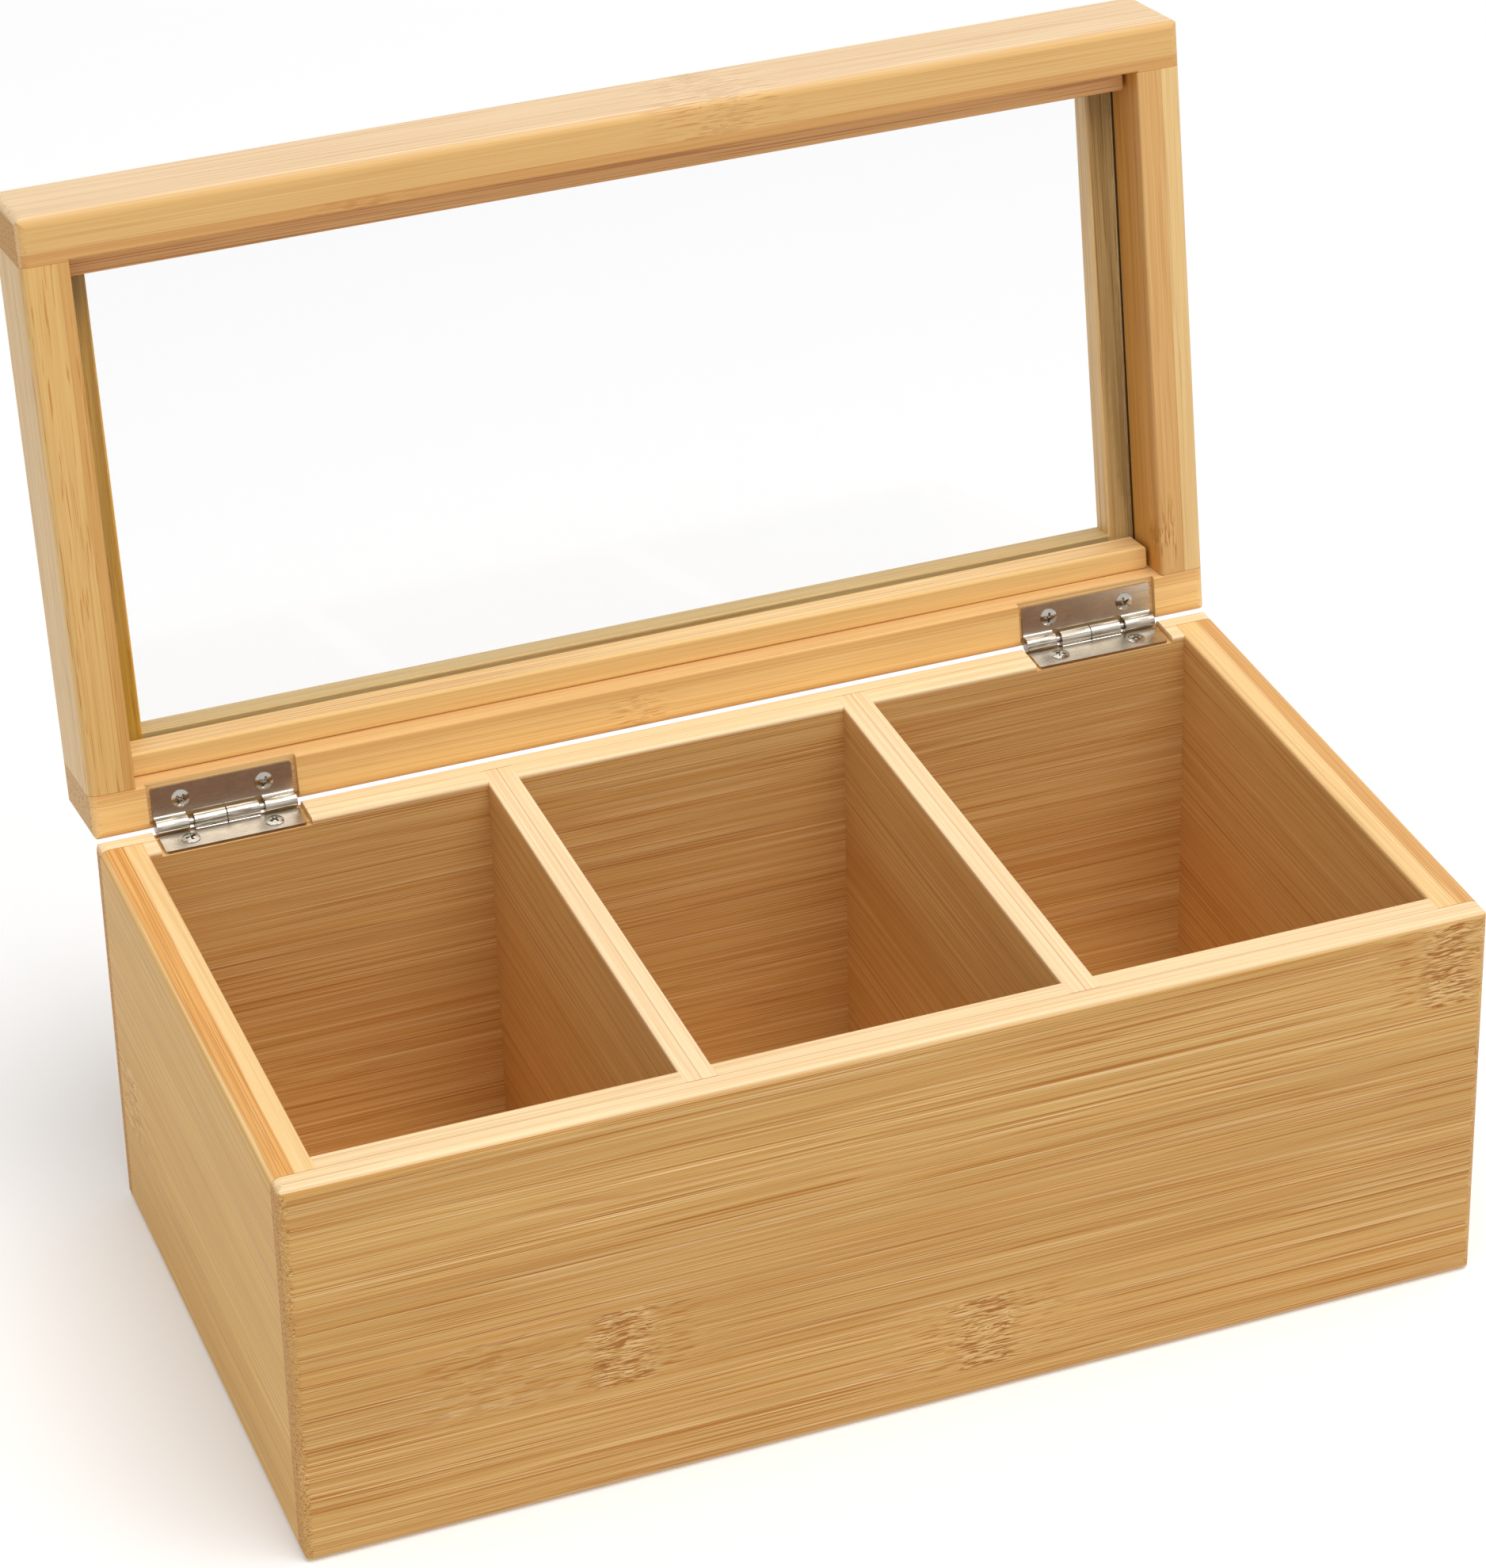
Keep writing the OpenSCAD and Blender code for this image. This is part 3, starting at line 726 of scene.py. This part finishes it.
@dataclass(frozen=True)
class Glass:
    """Clear float glass: what it lets through, and how far its reflections are damped."""

    tint: Rgb = (0.938, 0.941, 0.943)
    ior: float = 1.5
    mirror: Rgb = (0.3, 0.3, 0.3)

    def material(self) -> bpy.types.Material:
        """Makes the material.

        Lamps' rays go straight through, and noise in the roughness gives faint wipe marks.

        Returns:
            The material.
        """
        made = bpy.data.materials.new("clear_glass")
        made.use_nodes = True
        graph = Graph(made.node_tree)
        point = graph.node("TexCoord").outputs["Object"]
        smear = graph.noise(point, (18.0, 18.0, 18.0), 2.0)
        rough = graph.ramp(smear, 0.45, 0.75, 0.0, 0.02)
        surface = graph.node("BsdfPrincipled", {
            "Base Color": self.tint, "Roughness": rough, "IOR": self.ior,
            "Specular Tint": self.mirror, "Transmission Weight": 1.0})
        through = graph.node("BsdfTransparent", {"Color": self.tint})
        lamp = graph.node("LightPath").outputs["Is Shadow Ray"]
        mixed = graph.node("MixShader", {0: lamp, 1: surface.outputs[0], 2: through.outputs[0]})
        graph.put(mixed.outputs[0], graph.node("OutputMaterial").inputs["Surface"])
        return made


@dataclass(frozen=True)
class Nickel:
    """Bright nickel plate on steel, with handling marks.

    Drawing lines run along the barrels, about the pin, and fade out on the flat plates: they roughen and
    dent the metal, and darken it in bands that are painted reflections of darker surroundings.
    """

    name: str
    colour: Rgb = (206, 198, 186)
    # dull colour of the handling marks and pits, and of the painted dark reflections on the barrels
    dull_and_reflection: Rgb = (116, 106, 92)
    rough: float = 0.15
    lines: float = 1.0
    pin: Triple = (0.0, 79.3, 105.3)
    barrel_to: Triple = (2.1, 2.5, 0.12)  # fades from and to these radii, to this share
    bump: float = 0.5
    bump_m: float = 0.00004

    def material(self) -> bpy.types.Material:
        """Makes the material.

        Returns:
            The material.
        """
        made = bpy.data.materials.new(self.name)
        made.use_nodes = True
        graph = Graph(made.node_tree)
        point = graph.vector("MULTIPLY", graph.node("TexCoord").outputs["Object"], (MM, MM, MM))
        rolled = graph.noise(point, (0.12, 2.4, 2.4), 4.0, 0.6)
        cloud = graph.noise(point, (0.25, 0.25, 0.25), 1.0)
        pits = graph.ramp(graph.noise(point, (3.5, 3.5, 3.5), 1.0), 0.68, 0.76)
        off_pin = graph.vector("MULTIPLY", graph.vector("SUBTRACT", point, self.pin), (0.0, 1.0, 1.0))
        radius = graph.node("VectorMath", {0: off_pin}, operation="LENGTH").outputs["Value"]
        close, away, share = self.barrel_to
        barrel = graph.ramp(radius, close, away, 1.0, share)
        # painted reflections: dark bands along the barrels stand in for darker surroundings
        reflection_bands = graph.math("MULTIPLY", graph.math("MULTIPLY", graph.ramp(
            rolled, 0.48, 0.60), 0.7 * self.lines), barrel)
        colour = graph.mix(graph.math("MULTIPLY_ADD", cloud, 0.3, graph.math(
            "MAXIMUM", reflection_bands, graph.math("MULTIPLY", pits, 0.5))), paint(*self.colour),
            paint(*self.dull_and_reflection))
        rough = graph.math("ADD", graph.math("MULTIPLY_ADD", rolled, 0.08 * self.lines, self.rough),
                           graph.math("MULTIPLY", pits, 0.15))
        height = graph.math("MULTIPLY", graph.math("SUBTRACT", rolled, pits), barrel)
        bump = graph.node("Bump", {"Height": height, "Strength": self.bump * self.lines,
                                   "Distance": self.bump_m})
        surface = graph.node("BsdfPrincipled", {
            "Base Color": colour, "Metallic": 1.0, "Roughness": rough, "Normal": bump.outputs[0]})
        graph.put(surface.outputs[0], graph.node("OutputMaterial").inputs["Surface"])
        return made


@dataclass
class Hinges:
    """The two butt hinges with their pins and screws. Sizes in millimetres.

    Each leaf is worked out about its pin: x along the pin, the plate towards
    -y and below it. The lid's leaves are the same upside down, and turned.
    """

    hinging: Hinging
    middle: float = 116.5
    length: float = 36.0
    knuckle: float = 2.0
    sheet: float = 0.9
    plate_edge: float = 2.35
    gap: float = 1.4
    seam: float = 0.12
    soft: float = 0.16
    weld: float = 0.002
    slack: float = 0.01
    leaf: Nickel = Nickel("nickel_leaf", rough=0.24)
    pin: Nickel = Nickel("nickel_pin", colour=(190, 186, 178), rough=0.26)
    screw: Nickel = Nickel("nickel_screw", colour=(200, 194, 184), rough=0.15, lines=0.4)

    def starts(self) -> tuple[np.ndarray, float]:
        """Where the four knuckles start along the pin, and how long each is.

        Returns:
            The four places and the length.
        """
        long = (self.length - 2 * self.gap - self.seam) / 4
        half = self.length / 2
        return np.array([-half, -self.seam / 2 - long, self.seam / 2, half - long]), long

    def roll(self, start: float, long: float) -> tuple[np.ndarray, np.ndarray]:
        """Rolls one knuckle: the sheet's section carried along the pin.

        The section follows a straight and then an arc of 298 degrees round
        the pin, with half the sheet's thickness to either side, and closes in
        a half ellipse just short of the plate. Towards each end of the
        knuckle the section thins as a quarter circle, so the rims are round.

        Args:
            start: where the knuckle starts along the pin.
            long: its length.
        Returns:
            The points, and the faces as rows of four.
        """
        half = self.sheet / 2
        radius = self.knuckle - half
        turn = np.radians(np.linspace(-90, 208, 72))
        straight = np.linspace(-self.plate_edge, 0, 4)[:-1]
        line = np.concatenate([np.stack([straight, np.full_like(straight, -radius)], -1),
                               radius * np.stack([np.cos(turn), np.sin(turn)], -1)])
        outward = np.concatenate([np.tile([0.0, -1.0], (len(straight), 1)),
                                  np.stack([np.cos(turn), np.sin(turn)], -1)])
        onward = np.stack([-outward[:, 1], outward[:, 0]], -1)
        bend = np.radians(np.linspace(90, -90, 13))[1:-1]
        count = len(line)
        order = np.concatenate([np.arange(count), np.full(len(bend), count - 1),
                                np.arange(count)[::-1]])
        across = np.concatenate([np.ones(count), np.sin(bend), -np.ones(count)])
        along = np.concatenate([np.zeros(count), 0.5 * np.cos(bend), np.zeros(count)])

        rim = np.radians(np.linspace(0, 90, 5))
        inset = self.soft * (1 - np.sin(rim))
        back = self.soft * (1 - np.cos(rim))
        place = np.concatenate([start + back, (start + long - back)[::-1]])
        thin = half - np.concatenate([inset, inset[::-1]])
        section = (line[order][None] + thin[:, None, None] * (
            across[:, None] * outward[order] + along[:, None] * onward[order])[None])
        rings, size = section.shape[:2]
        points = np.concatenate([np.broadcast_to(place[:, None, None], (rings, size, 1)), section],
                                -1).reshape(-1, 3)

        ring, step = np.meshgrid(np.arange(rings - 1), np.arange(size), indexing="ij")
        after = (step + 1) % size
        skin = np.stack([ring * size + step, (ring + 1) * size + step, (ring + 1) * size + after,
                         ring * size + after], -1).reshape(-1, 4)
        pair = np.arange(size // 2 - 1)
        cap = np.stack([pair, pair + 1, size - 2 - pair, size - 1 - pair], -1)
        return points, np.concatenate([skin, cap, (cap + (rings - 1) * size)[:, ::-1]])

    def leaf_place(self, side: int, in_lid: bool) -> Matrix:
        """Works out the map from a leaf's own millimetres to the box's metres.

        Args:
            side: -1 for the left hinge and 1 for the right one.
            in_lid: whether the leaf is let into the lid.
        Returns:
            The map as a 4 by 4 matrix.
        """
        pin = Matrix.Translation((side * self.middle / MM, self.hinging.pin_y / MM,
                                  self.hinging.pin_z / MM))
        scale = Matrix.Diagonal((1 / MM, 1 / MM, 1 / MM, 1))
        if not in_lid:
            return pin @ scale
        turn = Matrix.Rotation(math.radians(-self.hinging.opened), 4, "X")
        return pin @ turn @ scale @ Matrix.Diagonal((1, 1, -1, 1))

    def build_leaf(self, name: str, side: int, in_lid: bool, finish: bpy.types.Material) -> None:
        """Builds a leaf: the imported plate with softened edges, and its two rolled knuckles.

        Args:
            name: the leaf's node.
            side: -1 for the left hinge and 1 for the right one.
            in_lid: whether it is let into the lid.
            finish: its material.
        """
        where = self.leaf_place(side, in_lid)
        form = bmesh.new()
        form.from_mesh(frame["nodes"][name].data)
        form.transform(where.inverted())
        bmesh.ops.remove_doubles(form, verts=form.verts, dist=self.weld)
        bmesh.ops.recalc_face_normals(form, faces=form.faces)
        edge = -self.plate_edge
        cut = bmesh.ops.bisect_plane(
            form, geom=form.verts[:] + form.edges[:] + form.faces[:], dist=1e-4,
            plane_co=(0, edge + 0.003, 0), plane_no=(0, 1, 0), clear_outer=True)
        rims = [e for e in cut["geom_cut"] if isinstance(e, bmesh.types.BMEdge)]
        bmesh.ops.holes_fill(form, edges=rims)
        bmesh.ops.dissolve_limit(form, angle_limit=math.radians(1), verts=form.verts[:],
                                 edges=form.edges[:])
        places, long = self.starts()
        own = places[[0, 3]] if in_lid else places[[1, 2]]

        def on_roll(e: bmesh.types.BMEdge) -> bool:
            """Whether an edge lies where a knuckle's sheet leaves the plate."""
            x = (e.verts[0].co.x + e.verts[1].co.x) / 2
            return (min(v.co.y for v in e.verts) > edge - self.slack
                    and bool(np.any((x > own - self.slack) & (x < own + long + self.slack))))

        sharp = [e for e in form.edges if len(e.link_faces) == 2
                 and e.calc_face_angle(0) > math.radians(30) and not on_roll(e)]
        bmesh.ops.bevel(form, geom=sharp, offset=self.soft * 0.8, offset_type="OFFSET", segments=3,
                        profile=0.5, affect="EDGES", clamp_overlap=True)
        mesh = bpy.data.meshes.new(name + "_rolled")
        for start in own:
            points, faces = self.roll(float(start), long)
            mesh.from_pydata(points.tolist(), [], faces.tolist())
            form.from_mesh(mesh)
            mesh.clear_geometry()
        bmesh.ops.recalc_face_normals(form, faces=form.faces)
        form.transform(where)
        if in_lid:
            bmesh.ops.reverse_faces(form, faces=form.faces)
        form.to_mesh(mesh)
        form.free()
        mesh.polygons.foreach_set("use_smooth", np.ones(len(mesh.polygons), bool))
        mesh.materials.append(finish)
        piece = bpy.data.objects.new(mesh.name, mesh)
        bpy.context.scene.collection.objects.link(piece)
        weigh = piece.modifiers.new("weighted_normals", "WEIGHTED_NORMAL")
        weigh.keep_sharp = True
        weigh.weight = 60
        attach(piece, "lid" if in_lid else "box")
        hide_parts(name)
        log.info("%s: rolled leaf with %d faces", name, len(mesh.polygons))

    def dress(self) -> None:
        """Builds the leaves and puts the finishes on both hinges."""
        leaf, pin, screw = (f.material() for f in (self.leaf, self.pin, self.screw))
        for side, word in ((-1, "left"), (1, "right")):
            self.build_leaf(f"{word}_hinge_box_leaf", side, False, leaf)
            self.build_leaf(f"{word}_hinge_lid_leaf", side, True, leaf)
            for part, made in (("pin", pin), ("box_screws", screw), ("lid_screws", screw)):
                cover(f"{word}_hinge_{part}", made)


# ------------------------------------------------------------ studio


@dataclass
class Studio:
    """White floor and surroundings, one wide soft lamp, and the camera."""

    floor_half: float = 6.0
    grid: int = 33
    glow_from: float = 0.6  # the floor's own glow grows between these distances
    glow_to: float = 2.6
    glow_least: float = 0.14
    glow_most: float = 0.5
    soft_light: float = 0.55  # the surroundings' strength on matt surfaces
    mirrored: float = 0.95  # and in reflections
    camera_at: Triple = (-0.376584, -1.018690, 0.786731)
    right: Triple = (0.935548, -0.352442, -0.023130)
    up: Triple = (0.192044, 0.452631, 0.870772)
    lens: float = 121.71
    sensor: float = 36.0
    lift: float = -0.1008
    lamp_at: Triple = (0.35, -0.75, 2.4)
    lamp_aim: Triple = (0.0, 0.02, 0.08)
    lamp_size: float = 1.8
    lamp_watts: float = 42.0

    def floor(self) -> None:
        """Lays the floor, a flat sheet on a grid, whose glow grows with the distance."""
        steps = np.linspace(-1.0, 1.0, self.grid)
        x, y = np.meshgrid(steps, steps)
        points = np.stack([x * self.floor_half, y * self.floor_half, np.zeros_like(x)], -1)
        n = len(steps)
        first = (np.arange(n - 1)[:, None] * n + np.arange(n - 1)).ravel()
        faces = np.stack([first, first + 1, first + n + 1, first + n], -1)
        mesh = bpy.data.meshes.new("floor")
        mesh.from_pydata(points.reshape(-1, 3).tolist(), [], faces.tolist())
        floor = bpy.data.objects.new("floor", mesh)
        bpy.context.scene.collection.objects.link(floor)
        made = bpy.data.materials.new("white_floor")
        made.use_nodes = True
        graph = Graph(made.node_tree)
        path = graph.node("LightPath")
        seen = graph.math("MAXIMUM", path.outputs["Is Camera Ray"], graph.math(
            "MAXIMUM", path.outputs["Is Glossy Ray"], path.outputs["Is Transmission Ray"]))
        away = graph.node("VectorMath", {0: graph.node("TexCoord").outputs["Object"]},
                          operation="LENGTH").outputs["Value"]
        matt = graph.node("BsdfDiffuse", {"Color": (0.9, 0.9, 0.9)})
        glow = graph.node("Emission", {"Color": (1.0, 1.0, 1.0), "Strength": graph.math(
            "MULTIPLY", seen, graph.ramp(away, self.glow_from, self.glow_to, self.glow_least,
                                         self.glow_most))})
        both = graph.node("AddShader", {0: matt.outputs[0], 1: glow.outputs[0]})
        graph.put(both.outputs[0], graph.node("OutputMaterial").inputs["Surface"])
        mesh.materials.append(made)

    def sky(self) -> None:
        """Sets the surroundings: plain white to look at, and a level soft light on the box."""
        world = bpy.data.worlds.new("studio")
        bpy.context.scene.world = world
        world.use_nodes = True
        graph = Graph(world.node_tree)
        path = graph.node("LightPath")
        seen = graph.math("MAXIMUM", path.outputs["Is Camera Ray"],
                          path.outputs["Is Transmission Ray"])
        shown = graph.math("MAXIMUM", seen, graph.math(
            "MULTIPLY", path.outputs["Is Glossy Ray"], self.mirrored))
        strength = graph.math("MAXIMUM", shown, self.soft_light)
        back = graph.node("Background", {"Color": (1.0, 1.0, 1.0), "Strength": strength})
        graph.put(back.outputs[0], graph.node("OutputWorld").inputs["Surface"])

    def light(self) -> None:
        """Hangs the lamp, turned to the box."""
        lamp = bpy.data.lights.new("softbox_0", "AREA")
        lamp.shape = "SQUARE"
        lamp.size = self.lamp_size
        lamp.energy = self.lamp_watts
        made = bpy.data.objects.new(lamp.name, lamp)
        made.location = self.lamp_at
        toward = Vector(self.lamp_aim) - Vector(self.lamp_at)
        made.rotation_euler = toward.to_track_quat("-Z", "Y").to_euler()
        bpy.context.scene.collection.objects.link(made)

    def camera(self) -> None:
        """Stands the camera where the photograph was taken from."""
        data = bpy.data.cameras.new("photo")
        data.sensor_width = self.sensor
        data.lens = self.lens
        data.shift_y = self.lift
        data.clip_start, data.clip_end = 0.05, 50.0
        made = bpy.data.objects.new("photo", data)
        right, up = Vector(self.right), Vector(self.up)
        pose = Matrix((right, up, right.cross(up))).transposed().to_4x4()
        pose.translation = Vector(self.camera_at)
        made.matrix_world = pose
        bpy.context.scene.collection.objects.link(made)
        bpy.context.scene.camera = made

    def build(self) -> None:
        """Builds the whole studio."""
        self.floor()
        self.sky()
        self.light()
        self.camera()
        bpy.context.scene.view_settings.view_transform = "Standard"


def main() -> None:
    """Dresses the box and builds the studio round it."""
    logging.basicConfig(level=logging.INFO, format="%(name)s: %(message)s")
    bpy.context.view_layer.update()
    Studio().build()
    hinging = Hinging()
    shop = WoodShop(hinging)
    for board in Carcass().boards():
        shop.dress(board)
    for board in LidFrame().boards():
        shop.dress(board, in_lid=True)
    cover("glass_panel", Glass().material())
    Hinges(hinging).dress()


if __name__ == "__main__":
    main()
